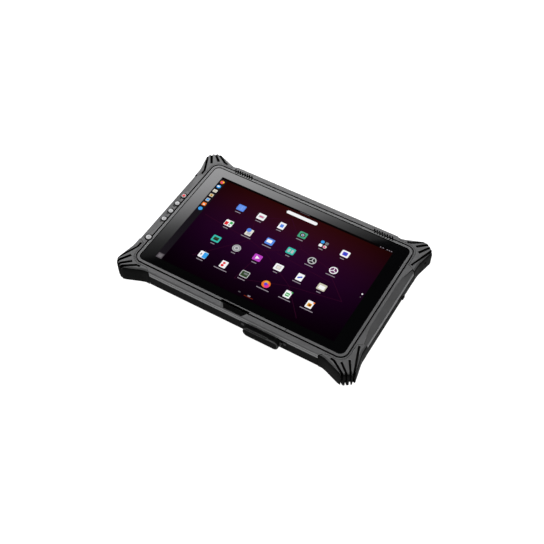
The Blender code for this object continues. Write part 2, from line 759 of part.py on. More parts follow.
def make_serial_cover():
    """The bulging cover, hinged on a knuckle at its right end."""
    inner, outer = MODULE_FACE + 0.5, MODULE_FACE + 0.5 + COVER_BULGE
    sections = [(inner, 0.0), (outer - 0.6, 0.0), (outer, 0.6)]
    outlines = [(on_bottom_wall(COVER_HALF, 5.4, inset), out) for out, inset in sections]
    cover = stand_up(loft("serial_port_cover", outlines))
    x, y = COVER_HINGE
    knuckle = (MODULE_Z - 2.7, MODULE_Z + 2.7)
    join(
        cover,
        block("plug_pad_left", *at_module((-14.2, -10.4), (-91.5, -88.7), both(2.7))),
        block("plug_pad_right", *at_module((10.4, 14.2), (-91.5, -88.7), both(2.7))),
        block("hinge_tab", (57.0, x), (y - 0.7, y + 0.8), knuckle),
        cylinder("knuckle", (x, y), *knuckle, KNUCKLE_RADIUS, steps=16),
    )
    cut(cover, block("grip", *at_module((-17.0, 8.0), (-98, -95.6), (4.9, 7))))
    move_origin(cover, (x, y, MODULE_Z))
    finish(cover, "cover_rubber")


# Side ports and their cover


def side_ports():
    """Each port: name, middle along Y, half width along Y, half height, mouth margins along Y and Z."""
    return (
        ("usb_a_port", 11.0, 6.9, 3.3, 0.5, 0.5),
        ("usb_c_port", -2.5, 4.7, 1.9, 0.4, 0.5),
        ("hdmi_port", -13.0, 3.7, 1.9, 0.4, 0.5),
    )


def cut_port_recess(housing):
    y = (PORT_COVER_Y[0] - GAP, PORT_COVER_Y[1] + GAP)
    z = (PORT_COVER_Z[0] - GAP, PORT_COVER_Z[1] + GAP)
    cut(housing, block("port_recess", (PORT_RECESS_X, 142), y, z))
    for name, middle, half_y, half_z, _, _ in side_ports():
        across = (middle - half_y - GAP, middle + half_y + GAP)
        up = (PORT_Z - half_z - GAP, PORT_Z + half_z + GAP)
        cut(housing, block(name + "_window", (130, 140), across, up))
    cut(housing, cylinder("jack_window", (-23.5, PORT_Z), 130, 140, 3.5 + GAP, "X", 20))


def make_side_ports():
    depth = 9.0
    for name, middle, half_y, half_z, margin_y, margin_z in side_ports():
        y, z = (middle - half_y, middle + half_y), (PORT_Z - half_z, PORT_Z + half_z)
        port = block(name, (PORT_BACK_X, PORT_FACE_X), y, z)
        mouth_y, mouth_z = (y[0] + margin_y, y[1] - margin_y), (z[0] + margin_z, z[1] - margin_z)
        cut(port, block(name + "_mouth", (PORT_FACE_X - depth, 140), mouth_y, mouth_z))
        tongue_y = (mouth_y[0] + 0.6, mouth_y[1] - 0.6)
        middle_z = PORT_Z + (0.9 if name == "usb_a_port" else 0.0)
        thick = 0.9 if name == "usb_a_port" else 0.35
        tongue = block(
            name + "_tongue",
            (PORT_FACE_X - depth - 1, PORT_FACE_X - 1),
            tongue_y,
            (middle_z - thick, middle_z + thick),
        )
        join(port, tongue)
        finish(port, "connector_steel")
    jack = cylinder("power_jack", (-23.5, PORT_Z), PORT_BACK_X, PORT_FACE_X, 3.5, "X", 20)
    cut(jack, cylinder("jack_bore", (-23.5, PORT_Z), PORT_FACE_X - depth, 140, 2.75, "X", 20))
    join(jack, cylinder("jack_pin", (-23.5, PORT_Z), PORT_FACE_X - depth - 1, PORT_FACE_X - 1, 0.8, "X", 10))
    finish(jack, "black_polymer")


def make_port_cover():
    """The flush cover over the side ports, with a pull tab at its free end."""
    cover = block("side_port_cover", (PORT_RECESS_X + GAP, 139.2), PORT_COVER_Y, PORT_COVER_Z)
    free = PORT_COVER_Y[1]
    join(
        cover,
        block("tab_root", (138.0, 142.0), (free - 1.7, free), PULL_TAB_Z),
        block("tab_lip", (140.0, 142.0), (free - 0.7, free + 3.0), PULL_TAB_Z),
    )
    move_origin(cover, (PORT_HINGE_X, PORT_COVER_Y[0] - 0.15, PORT_Z))
    finish(cover, "cover_rubber")


make_materials()
make_glass()
make_bezel()
make_front_housing()
make_bumpers()
make_keys()
make_inside()
make_rear_housing()
make_back_pieces()
make_screws()
make_module()
make_serial_cover()
make_side_ports()
make_port_cover()
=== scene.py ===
"""Looks of the rugged field tablet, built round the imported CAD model. Lengths are in metres unless said."""

import json
import math

import bmesh
import bpy
from mathutils import Matrix, Vector


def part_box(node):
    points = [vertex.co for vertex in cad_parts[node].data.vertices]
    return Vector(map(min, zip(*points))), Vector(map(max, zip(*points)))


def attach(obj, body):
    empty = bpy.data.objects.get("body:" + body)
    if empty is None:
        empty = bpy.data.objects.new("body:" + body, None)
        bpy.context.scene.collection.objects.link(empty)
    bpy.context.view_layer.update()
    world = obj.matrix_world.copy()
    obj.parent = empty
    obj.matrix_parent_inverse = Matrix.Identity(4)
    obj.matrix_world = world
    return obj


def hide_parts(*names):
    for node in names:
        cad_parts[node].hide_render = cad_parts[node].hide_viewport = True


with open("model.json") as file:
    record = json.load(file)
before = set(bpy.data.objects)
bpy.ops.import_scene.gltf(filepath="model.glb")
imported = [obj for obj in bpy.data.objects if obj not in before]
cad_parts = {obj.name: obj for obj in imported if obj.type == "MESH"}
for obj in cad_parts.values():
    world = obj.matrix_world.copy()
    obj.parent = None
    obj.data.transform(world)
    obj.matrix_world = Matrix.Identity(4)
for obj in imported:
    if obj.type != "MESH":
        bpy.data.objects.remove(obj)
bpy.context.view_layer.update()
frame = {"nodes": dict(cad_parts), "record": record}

MM = 0.001
NODES = frame["nodes"]
RECORD = frame["record"]
BODY_OF = {node: body for body, nodes in RECORD["behaviour"]["bodies"].items() for node in nodes}
SLOT_OF = {part["node"]: part["material_slot"] for part in RECORD["subparts"]}

# Edges of the pieces, in degrees
ROUNDED_ANGLE = 28  # edges sharper than this are rounded
CREASE_ANGLE = 12.5  # edges sharper than this show as creases

# Where the looks of the shells change: heights above the floor, and distances from the middle
SKIN_HEIGHT = 19 * MM  # the grey skin of the front and the bumpers lies above it; below it they get painted shade or black
RIM_HEIGHT = 20.5 * MM  # the flat top of the rim lies above it; the rim's faces below it get painted shade
WALL_SPLIT = 15.2 * MM  # the side walls are a light grey painted highlight above it and black below it
WALL_FOOT = 4 * MM  # the side walls' own look ends here; below it they get painted shade
OUTER_WALLS = (136.5 * MM, 89.3 * MM)  # the side walls lie further out than this
POCKET_REACH = 18 * MM  # half length of the pocket at the bottom of the front
POCKET_BACK = -83.6 * MM
POCKET_PAINTED_SHADE = (-13 * MM, 4 * MM)  # painted light and shade: the pocket darkens from its lit left end to its shaded right end between these
SPEAKERS = (70 * MM, 112 * MM)  # the speaker slots lie between these, left and right
SPEAKER_ROW = 80 * MM
BUMPER_FAN = (115 * MM, 70 * MM)  # the bumpers' slots fan out from here
UNSHADED_TIP = 132 * MM  # beyond this the bottom right bumper's lower faces are plain black instead of painted shade, so its slots look lit
KEY_SHADE_RING = 0.8 * MM  # width of the ring of painted shade round a key

# The lit picture: a 10.1 inch, 16:10 panel
PICTURE_HALF = (108.48 * MM, 67.8 * MM)
PICTURE_X = -0.6 * MM  # middle of the picture
PICTURE_THICK = 0.02 * MM
LAYER = 0.012 * MM  # one layer of what the picture shows
GLASS_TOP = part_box("cover_glass")[1].z

# Camera: which way it looks at the tablet in degrees, and from how far
CAMERA_AZIMUTH = 30.3025
CAMERA_ELEVATION = 51.5665
CAMERA_ROLL = 0.2134
CAMERA_DISTANCE = 1047.435 * MM
CAMERA_TARGET = Vector((9.549, -22.811, 20.8)) * MM
LENS = 65.65

# Softbox above and behind the tablet, whose reflection washes over the glass. All its places but the
# height are those of its reflection on the glass.
SOFTBOX_HEIGHT = 840 * MM
SOFTBOX_ALONG = Vector((-0.545, 0.838))  # the way in which the reflection gets brighter
SOFTBOX_SPAN = (-20 * MM, 140 * MM)  # how far along that way the fade starts and ends
SOFTBOX_CORNER = Vector((86.5, 73.0)) * MM
SOFTBOX_EDGE = Vector((11.0, 8.0)).normalized()  # the way in which its straight edge runs
SOFTBOX_FADE = (
    (0.0, 0.0),
    (0.14, 0.15),
    (0.27, 0.45),
    (0.39, 1.2),
    (0.52, 2.85),
    (0.65, 4.4),
    (0.8, 5.8),
    (1.0, 6.6),
)  # share of the span, and the radiance there
SOFTBOX_SHEETS = (
    ("softbox", (-0.6, 0.16), (0.0, 0.3), True),
    ("softbox_far", (-0.95, 0.16), (0.3, 0.75), False),
    ("softbox_left", (-0.95, -0.6), (0.0, 0.3), False),
)  # name, length, width, and whether glossy surfaces mirror it


# Shapes


def new_object(name, shape):
    """An object from a bmesh."""
    mesh = bpy.data.meshes.new(name)
    shape.to_mesh(mesh)
    shape.free()
    piece = bpy.data.objects.new(name, mesh)
    bpy.context.scene.collection.objects.link(piece)
    return piece


def apply_modifiers(piece):
    """Turns the modified shape into the piece's own mesh."""
    graph = bpy.context.evaluated_depsgraph_get()
    mesh = bpy.data.meshes.new_from_object(piece.evaluated_get(graph))
    piece.modifiers.clear()
    piece.data = mesh


def smooth(piece, angle):
    """Smooth shading, with creases where the surface turns by more than the angle."""
    piece.data.shade_smooth()
    piece.data.set_sharp_from_angle(angle=math.radians(angle))


def dress(piece, body, slot, *materials):
    """Gives a piece its materials and its body. The slot is not used."""
    for name in materials:
        piece.data.materials.append(LOOKS[name])
    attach(piece, body)


def solid_of(node):
    """A clean copy of a CAD node's solid, with flat faces joined up."""
    shape = bmesh.new()
    shape.from_mesh(NODES[node].data)
    bmesh.ops.remove_doubles(shape, verts=shape.verts, dist=0.000002)
    bmesh.ops.dissolve_limit(
        shape,
        angle_limit=math.radians(0.6),
        verts=shape.verts,
        edges=shape.edges,
        use_dissolve_boundaries=False,
    )
    return shape


def soften(node, name, width, *looks, segments=2, limit=ROUNDED_ANGLE, rule=None):
    """A piece with the CAD solid's shape and edges rounded over a width in millimetres, which stands for it.

    The last look is that of the rounded edges, and the first that of the other faces. The rule says
    which look a face gets instead, from its normal, its middle and the look it has.
    """
    piece = new_object(name, solid_of(node))
    for look in looks:
        piece.data.materials.append(LOOKS[look])
    bevel = piece.modifiers.new("edges", "BEVEL")
    bevel.width = width * MM
    bevel.segments = segments
    bevel.limit_method = "ANGLE"
    bevel.angle_limit = math.radians(limit)
    bevel.use_clamp_overlap = False
    # The rounded edges get the last look, in most pieces a lighter copy of the first: a painted highlight
    bevel.material = len(looks) - 1
    apply_modifiers(piece)
    if rule:
        for face in piece.data.polygons:
            look = rule(face.normal, face.center, looks[face.material_index])
            face.material_index = looks.index(look)
    smooth(piece, CREASE_ANGLE)
    weigh = piece.modifiers.new("flat faces", "WEIGHTED_NORMAL")
    weigh.keep_sharp = True
    apply_modifiers(piece)
    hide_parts(node)
    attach(piece, BODY_OF[node])


def arc(centre, radius, start, end, steps):
    """Points along an arc between two angles in degrees."""
    angles = [math.radians(start + (end - start) * i / steps) for i in range(steps + 1)]
    return [(centre[0] + radius * math.cos(a), centre[1] + radius * math.sin(a)) for a in angles]


def rounded(width, height, radius):
    """A rectangle with round corners about the origin, counterclockwise."""
    points = []
    for sx, sy, start in ((1, 1, 0), (-1, 1, 90), (-1, -1, 180), (1, -1, 270)):
        corner = (sx * (width / 2 - radius), sy * (height / 2 - radius))
        points += arc(corner, radius, start, start + 90, 5)
    return points


def disc(radius, steps=28):
    return arc((0, 0), radius, 0, 360, steps)[:-1]


def shifted(outline, x, y):
    return [(px + x, py + y) for px, py in outline]


def add_plate(shape, outline, low, high, material=0):
    """A thin closed plate with a flat outline."""
    rings = [[shape.verts.new((x, y, z)) for x, y in outline] for z in (low, high)]
    faces = [shape.faces.new(rings[1]), shape.faces.new(rings[0][::-1])]
    count = len(outline)
    for i in range(count):
        j = (i + 1) % count
        faces.append(shape.faces.new((rings[0][i], rings[0][j], rings[1][j], rings[1][i])))
    for face in faces:
        face.material_index = material


def turned(name, profile, place, steps=48):
    """A solid of revolution about Z, from its profile of (radius, height) from top to bottom."""
    shape = bmesh.new()
    top = shape.verts.new((0, 0, profile[0][1]))
    bottom = shape.verts.new((0, 0, profile[-1][1]))
    rings = []
    for radius, height in profile[1:-1]:
        rings.append([shape.verts.new((x, y, height)) for x, y in disc(radius, steps)])
    for i in range(steps):
        j = (i + 1) % steps
        shape.faces.new((top, rings[0][i], rings[0][j]))
        for upper, lower in zip(rings, rings[1:]):
            shape.faces.new((upper[i], lower[i], lower[j], upper[j]))
        shape.faces.new((bottom, rings[-1][j], rings[-1][i]))
    bmesh.ops.translate(shape, verts=shape.verts, vec=place)
    return new_object(name, shape)


# Materials

NEUTRAL = (1, 1, 1.015)  # the slightly cool tint of the greys
GRAIN = 0.35  # of moulded plastic, in millimetres
GRAIN_DEPTH = 0.012
BLACK = 0.0035  # of the black plastic


def linear(red, green, blue):
    """A colour from display values of 0 to 255."""
    values = []
    for value in (red, green, blue):
        part = value / 255
        values.append(part / 12.92 if part <= 0.04045 else ((part + 0.055) / 1.055) ** 2.4)
    return (*values, 1.0)


def tinted(value, tint):
    return tuple(value * part for part in tint) + (1.0,)


def grey(value):
    return tinted(value, NEUTRAL)


def scaled(colour, share):
    """A lighter or darker version of a colour."""
    return tuple(part * share for part in colour[:3]) + (1.0,)


class Look:
    """A material with its nodes, and short calls to add to them."""

    def __init__(self, name):
        self.material = bpy.data.materials.new(name)
        self.material.use_nodes = True
        self.nodes = self.material.node_tree.nodes
        self.links = self.material.node_tree.links
        self.shader = self.nodes["Principled BSDF"]
        self.coordinates = self.add("ShaderNodeTexCoord").outputs["Object"]

    def add(self, kind, **settings):
        node = self.nodes.new(kind)
        for key, value in settings.items():
            setattr(node, key, value)
        return node

    def set(self, **values):
        """Gives sockets of the shader one value each."""
        for key, value in values.items():
            self.shader.inputs[key.replace("_", " ")].default_value = value

    def feed(self, socket, source):
        """Joins a node's output to a socket of the shader."""
        self.links.new(source, self.shader.inputs[socket])

    def axis(self, name):
        """The place along X, Y or Z."""
        split = self.add("ShaderNodeSeparateXYZ")
        self.links.new(self.coordinates, split.inputs["Vector"])
        return split.outputs[name]

    def noise(self, size, detail, stretch=None):
        """Noise whose features are about that many metres across."""
        source = self.coordinates
        if stretch:
            mapping = self.add("ShaderNodeMapping")
            mapping.inputs["Scale"].default_value = stretch
            self.links.new(source, mapping.inputs["Vector"])
            source = mapping.outputs["Vector"]
        texture = self.add("ShaderNodeTexNoise")
        texture.inputs["Scale"].default_value = 1.0 / size
        texture.inputs["Detail"].default_value = detail
        texture.inputs["Roughness"].default_value = 0.55
        self.links.new(source, texture.inputs["Vector"])
        return texture.outputs["Fac"]

    def spread(self, source, low, high, start=0.3, end=0.7):
        """The source, with the range from start to end turned into that from low to high."""
        node = self.add("ShaderNodeMapRange")
        node.inputs["From Min"].default_value = start
        node.inputs["From Max"].default_value = end
        node.inputs["To Min"].default_value = low
        node.inputs["To Max"].default_value = high
        self.links.new(source, node.inputs["Value"])
        return node.outputs["Result"]

    def ramp(self, source, *stops):
        """Colours that follow the source, from stops of (value, colour)."""
        node = self.add("ShaderNodeValToRGB")
        elements = node.color_ramp.elements
        while len(elements) < len(stops):
            elements.new(0.5)
        for element, (place, colour) in zip(elements, stops):
            element.position = place
            element.color = colour
        self.links.new(source, node.inputs["Fac"])
        return node.outputs["Color"]

    def bump(self, source, depth, strength=1.0):
        """Relief, on top of any relief there already is."""
        node = self.add("ShaderNodeBump")
        node.inputs["Strength"].default_value = strength
        node.inputs["Distance"].default_value = depth
        self.links.new(source, node.inputs["Height"])
        before = self.shader.inputs["Normal"].links
        if before:
            self.links.new(before[0].from_socket, node.inputs["Normal"])
        self.feed("Normal", node.outputs["Normal"])

    def spark(self, grain, depth, roughness):
        """A fine spark texture with uneven gloss. The grain and its depth are in millimetres."""
        fine = self.noise(grain * MM, detail=2)
        self.feed("Roughness", self.spread(fine, roughness - 0.06, roughness + 0.07))
        self.bump(fine, depth * MM)


def moulded(
    name,
    value,
    roughness,
    grain=GRAIN,
    depth=GRAIN_DEPTH,
    specular=0.5,
    mottle=0.12,
    scratches=0.0,
    tint=NEUTRAL,
):
    """Moulded plastic or rubber: a fine spark texture and a slight unevenness of colour."""
    look = Look(name)
    broad = look.noise(22 * MM, detail=4)
    dull = tinted(value * (1 - mottle), tint)
    fresh = tinted(value * (1 + mottle), tint)
    look.feed("Base Color", look.ramp(broad, (0.3, dull), (0.7, fresh)))
    look.spark(grain, depth, roughness)
    if scratches:
        lines = look.noise(1.2 * MM, detail=1, stretch=(0.08, 1.0, 1.0))
        look.bump(look.spread(lines, 0.0, 1.0, 0.68, 0.74), 0.004 * MM, scratches)
    look.set(Specular_IOR_Level=specular)
    return look.material


def shaded(name, axis, span, values, roughness, specular):
    """Moulded plastic whose shade turns from one value to another over a span of an axis."""
    look = Look(name)
    place = look.spread(look.axis(axis), 0.0, 1.0, *span)
    look.feed("Base Color", look.ramp(place, (0.0, grey(values[0])), (1.0, grey(values[1]))))
    look.spark(GRAIN, GRAIN_DEPTH, roughness)
    look.set(Specular_IOR_Level=specular)
    return look.material


def metal(name, colour, roughness, brushed=0.25):
    """Metal with fine brushed lines, that many millimetres apart."""
    look = Look(name)
    lines = look.noise(brushed * MM, detail=2, stretch=(1.0, 0.05, 1.0))
    look.feed("Base Color", look.ramp(lines, (0.3, scaled(colour, 0.85)), (0.7, colour)))
    look.feed("Roughness", look.spread(lines, roughness - 0.05, roughness + 0.08))
    look.bump(lines, 0.003 * MM)
    look.set(Metallic=1.0)
    return look.material


def polished(name, colour, roughness, specular=0.5, coat=0.0):
    """Polished glass or a hard clear cover, with very faint smears."""
    look = Look(name)
    smears = look.noise(18 * MM, detail=5, stretch=(1.0, 0.35, 1.0))
    look.feed("Base Color", look.ramp(smears, (0.2, colour), (0.8, scaled(colour, 1.2))))
    look.feed("Roughness", look.spread(smears, roughness, roughness + 0.015))
    look.set(Specular_IOR_Level=specular, Coat_Weight=coat)
    return look.material


def board(name):
    """Green solder mask with pale copper tracks."""
    look = Look(name)
    tracks = look.add("ShaderNodeTexBrick")
    tracks.inputs["Scale"].default_value = 260.0
    tracks.inputs["Color1"].default_value = (0.006, 0.07, 0.03, 1)
    tracks.inputs["Color2"].default_value = (0.01, 0.1, 0.045, 1)
    tracks.inputs["Mortar"].default_value = (0.03, 0.16, 0.07, 1)
    look.links.new(look.coordinates, tracks.inputs["Vector"])
    look.feed("Base Color", tracks.outputs["Color"])
    look.set(Roughness=0.4)
    return look.material


def lit(name):
    """A look with nothing yet but its own light, as in the lit picture."""
    look = Look(name)
    look.set(Base_Color=(0, 0, 0, 1), Roughness=0.8, Specular_IOR_Level=0.0, Emission_Strength=1.0)
    return look


def glowing(name, colour):
    """One colour of the lit picture, with a fine grain."""
    look = lit(name)
    grain = look.noise(0.4 * MM, detail=1)
    look.feed("Emission Color", look.ramp(grain, (0.35, scaled(colour, 0.93)), (0.65, colour)))
    return look.material


def wallpaper(name):
    """The picture's background: black at the bottom, plum in the middle and dark red at the top."""
    look = lit(name)
    height = look.spread(look.axis("Y"), 0.0, 1.0, -PICTURE_HALF[1], PICTURE_HALF[1])
    colour = look.ramp(
        height,
        (0.0, linear(9, 0, 8)),
        (0.11, linear(15, 1, 15)),
        (0.25, linear(23, 2, 24)),
        (0.35, linear(29, 2, 30)),
        (0.5, linear(36, 4, 36)),
        (0.65, linear(41, 6, 34)),
        (0.83, linear(45, 9, 21)),
        (0.97, linear(43, 8, 8)),
    )
    across = look.axis("X")
    squared = look.add("ShaderNodeMath", operation="MULTIPLY")
    for factor in squared.inputs[:2]:
        look.links.new(across, factor)
    side = look.spread(squared.outputs["Value"], 1.08, 0.5, 0.0, PICTURE_HALF[0] ** 2)
    shade = look.add("ShaderNodeVectorMath", operation="SCALE")
    look.links.new(colour, shade.inputs[0])
    look.links.new(side, shade.inputs["Scale"])
    look.feed("Emission Color", shade.outputs["Vector"])
    return look.material


SCREEN_COLOURS = {
    "white": (248, 248, 250),
    "paper": (232, 228, 216),
    "stone": (205, 200, 180),
    "silver": (190, 190, 192),
    "steel": (120, 122, 126),
    "label": (150, 140, 150),
    "faint": (86, 80, 86),
    "grid": (114, 110, 114),
    "blue": (88, 138, 232),
    "azure": (60, 165, 240),
    "sky": (140, 175, 245),
    "navy": (40, 80, 200),
    "violet": (96, 70, 205),
    "magenta": (190, 70, 195),
    "plum": (105, 42, 96),
    "teal": (60, 190, 175),
    "green": (60, 175, 90),
    "leaf": (72, 165, 128),
    "forest": (50, 70, 42),
    "red": (225, 35, 45),
    "orange": (245, 120, 40),
    "rust": (118, 38, 14),
    "amber": (235, 175, 60),
    "lemon": (255, 225, 70),
    "pink": (235, 60, 140),
    "dark": (28, 24, 30),
    "dock": (26, 22, 28),
    "bar": (8, 4, 5),
    "line": (54, 12, 38),
}


def make_looks():
    wall_change = (WALL_SPLIT - 0.1 * MM, WALL_SPLIT + 0.1 * MM)
    looks = {
        "housing": moulded("housing_grey", 0.06, 0.4, specular=0.5, scratches=0.3),
        # Each _edge look is a lighter copy of its plastic for the rounded edges: a painted highlight
        "housing_edge": moulded("housing_grey_edge_highlight", 0.082, 0.42, specular=0.6),
        "bumper": moulded("bumper_rubber_grey", 0.06, 0.42, grain=0.5, depth=0.016, specular=0.5),
        "bumper_edge": moulded("bumper_rubber_edge_highlight", 0.077, 0.45, grain=0.5, specular=0.5),
        "rim": moulded("rim_satin", 0.073, 0.36, grain=0.25, depth=0.006, specular=0.5),
        "rim_edge": moulded("rim_satin_edge_highlight", 0.097, 0.38, grain=0.25, depth=0.004, specular=0.5),
        "black": moulded("black_spark", BLACK, 0.6, specular=0.02),
        "black_edge": moulded("black_spark_edge_highlight", 0.007, 0.55, specular=0.06),
        # Painted highlight: the side walls are a light grey above WALL_SPLIT and black below it
        "wall": shaded("side_wall_painted_highlight", "Z", wall_change, (BLACK, 0.24), 0.6, 0.02),
        "cover": moulded("cover_rubber_black", 0.003, 0.65, grain=0.45, depth=0.015, specular=0.02),
        "cover_edge": moulded("cover_rubber_edge_highlight", 0.012, 0.55, grain=0.45, specular=0.2),
        # Painted highlight along the upper front edge of the serial cover
        "cover_highlight_line": moulded("cover_rubber_painted_highlight", 0.07, 0.5, grain=0.45, specular=0.3),
        "battery": moulded("battery_shell", 0.016, 0.58, grain=0.6, depth=0.02, specular=0.4),
        "seal": moulded("seal_foam", 0.018, 0.85, grain=0.8, depth=0.05, specular=0.2),
        "glass": polished("glass_black_border", (0.0008, 0.0008, 0.001, 1), 0.04, specular=0.5),
        "lens": polished("camera_glass", (0.004, 0.005, 0.009, 1), 0.03, coat=0.5),
        "clear": polished("clear_lens", (0.55, 0.57, 0.55, 1), 0.12, specular=0.6),
        "key_cap": moulded("key_cap_silver", 0.36, 0.36, grain=0.2, depth=0.004, mottle=0.05),
        "key_body": moulded("key_body_black", 0.004, 0.6, specular=0.1),
        # Painted shade: near black for grooves, slots, the rings round the keys and faces that lie in the
        # dark
        "painted_shade": moulded("groove_painted_shade", 0.0008, 0.8, specular=0.0),
        # Painted light and shade across the pocket, lighter at its left end
        "pocket": shaded("pocket_painted_shade", "X", POCKET_PAINTED_SHADE, (0.1, 0.002), 0.61, 0.05),
        "key_mark": moulded("key_mark_red", 0.6, 0.5, specular=0.2, tint=(1.0, 0.06, 0.08)),
        "steel": metal("plated_steel", (0.55, 0.55, 0.56, 1), 0.3),
        "screw": metal("black_screw", (0.02, 0.02, 0.021, 1), 0.5),
        "gold": metal("gold_contact", (0.85, 0.6, 0.28, 1), 0.25),
        "magnesium": metal("cast_magnesium", (0.45, 0.46, 0.47, 1), 0.45, brushed=0.8),
        "copper": metal("rolled_copper", (0.72, 0.38, 0.22, 1), 0.35),
        "ceramic": moulded("antenna_ceramic", 0.5, 0.5, grain=0.5, mottle=0.05),
        "board": board("circuit_board_green"),
        "wallpaper": wallpaper("picture_background"),
    }
    for name, colour in SCREEN_COLOURS.items():
        looks["screen_" + name] = glowing("picture_" + name, linear(*colour))
    return looks


LOOKS = make_looks()
SLOT_LOOKS = {
    "grey_polymer": "housing",
    "black_polymer": "black",
    "bumper_rubber": "bumper",
    "cover_rubber": "cover",
    "rim_polymer": "rim",
    "black_glass": "glass",
    "display": "wallpaper",
    "seal_rubber": "seal",
    "magnesium": "magnesium",
    "circuit_board": "board",
    "copper": "copper",
    "key_silver": "key_cap",
    "light_lens": "clear",
    "connector_steel": "steel",
    "screw_steel": "screw",
    "battery_case": "battery",
    "lens_glass": "lens",
    "ceramic": "ceramic",
}


def paint_nodes():
    """Gives every CAD node the look of its material slot."""
    for node, piece in NODES.items():
        piece.data.materials.clear()
        piece.data.materials.append(LOOKS[SLOT_LOOKS[SLOT_OF[node]]])


# Housings, bumpers and covers


def bumper_skin(normal, centre, look):
    """The grey skin is on what faces up near the top, apart from the edges of the slots, which get painted
    shade.

    Below it the outer walls are black, and what lies in a slot gets painted shade, blacker still, apart from
    the tip of the bottom right bumper, which stays plain black.
    """
    away = Vector((abs(centre.x) - BUMPER_FAN[0], abs(centre.y) - BUMPER_FAN[1])).normalized()
    slope = Vector((normal.x * math.copysign(1, centre.x), normal.y * math.copysign(1, centre.y)))
    bottom_right = centre.x > 0 > centre.y
    if centre.z > SKIN_HEIGHT and normal.z > 0.35:
        edge = look == "bumper_edge" and min(away) > 0.15 and slope.length > 0.2 and not bottom_right
        return "painted_shade" if edge and abs(slope.dot(away)) < 0.5 * slope.length else look
    if bottom_right and centre.x > UNSHADED_TIP:
        return "black"
    outward = normal.x * centre.x + normal.y * centre.y > 0
    return "black" if outward and centre.z < SKIN_HEIGHT else "painted_shade"


def on_outer_wall(normal, centre):
    """Whether a face of a housing is part of its outer side walls."""
    outward = normal.x * centre.x + normal.y * centre.y > 0.5 * centre.to_2d().length
    return outward and (abs(centre.x) > OUTER_WALLS[0] or abs(centre.y) > OUTER_WALLS[1])


def key_well(node):
    """The middle of a key, and how far the ring of painted shade round it reaches."""
    low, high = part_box(node)
    return (low + high) / 2, (high.x - low.x) / 2 + KEY_SHADE_RING


KEYS = {f"key_{number}": f"function_button_{number}" for number in range(1, 5)}
KEYS["key_power"] = "power_button"
MARKED_KEY = "key_1"
KEY_WELLS = [key_well(node) for node in KEYS.values()]


def in_pocket(normal, centre):
    """Whether a face is on the left end or the floor of the pocket at the bottom of the front."""
    inside = abs(centre.x) < POCKET_REACH and centre.y < POCKET_BACK
    return inside and (normal.x > 0.3 or (normal.z > 0.9 and centre.z < SKIN_HEIGHT))


def front_skin(normal, centre, look):
    """Grey walls with a painted highlight on their upper part, painted light and shade across the pocket, and
    painted shade in the groove round the rim, the speaker slots and round the keys.
    """
    if any((centre - place).to_2d().length < reach for place, reach in KEY_WELLS):
        return "painted_shade"
    if normal.z < 0.5 and on_outer_wall(normal, centre):
        return "wall"
    if in_pocket(normal, centre):
        return "pocket"
    inward = normal.x * centre.x + normal.y * centre.y < 0
    at_speaker = centre.y > SPEAKER_ROW and SPEAKERS[0] < abs(centre.x) < SPEAKERS[1]
    slot_edge = look == "housing_edge" and at_speaker
    # Painted shade below the skin, on steep faces, at the edges of the speaker slots and on edges that face
    # inwards
    if centre.z < SKIN_HEIGHT or normal.z < 0.35 or slot_edge or (inward and normal.z < 0.97):
        return "painted_shade"
    return look


def rear_skin(normal, centre, look):
    """The side walls have their own look, with its painted highlight, and painted shade at their foot; the
    rest of the rear is black.
    """
    if on_outer_wall(normal, centre):
        return "wall" if centre.z > WALL_FOOT else "painted_shade"
    return "black" if look == "wall" else look


def rim_skin(normal, centre, look):
    """The rim's slopes towards the glass and the groove get painted shade."""
    return "painted_shade" if centre.z < RIM_HEIGHT or normal.z < 0.97 else look


def cover_skin(normal, centre, look):
    """The upper front edge of the serial cover gets a painted highlight."""
    return "cover_highlight_line" if look == "cover_edge" and normal.z > 0.35 and normal.y < -0.35 else look


def make_shells():
    """The pieces that stand for CAD solids and have their edges rounded."""
    front = ("housing", "wall", "painted_shade", "pocket", "housing_edge")
    bumper = ("bumper", "black", "painted_shade", "bumper_edge")
    cover = ("cover", "cover_highlight_line", "cover_edge")
    soften("front_housing", "front_shell", 0.2, *front, rule=front_skin)
    soften("rear_housing", "rear_shell", 0.3, "wall", "black", "painted_shade", "black_edge", rule=rear_skin)
    soften("display_bezel", "glass_rim", 0.15, "rim", "painted_shade", "rim_edge", rule=rim_skin)
    soften("cover_glass", "glass", 0.15, "glass", limit=60)
    for row in ("top", "bottom"):
        for side in ("left", "right"):
            soften(f"corner_bumper_{row}_{side}", f"bumper_{row}_{side}", 0.35, *bumper, rule=bumper_skin)
    soften("serial_port_cover", "serial_cover_skin", 0.5, *cover, segments=3, rule=cover_skin)
    soften("side_port_cover", "side_cover_skin", 0.35, "cover", "cover_edge")
    soften("port_module_frame", "port_module_plate", 0.2, "black", "black_edge")
    soften("battery_pack", "battery_shell", 0.6, "battery", "black_edge", segments=3)
    for side in ("left", "right"):
        soften(f"battery_latch_{side}", f"latch_{side}", 0.3, "cover", "cover_edge")


# Keys


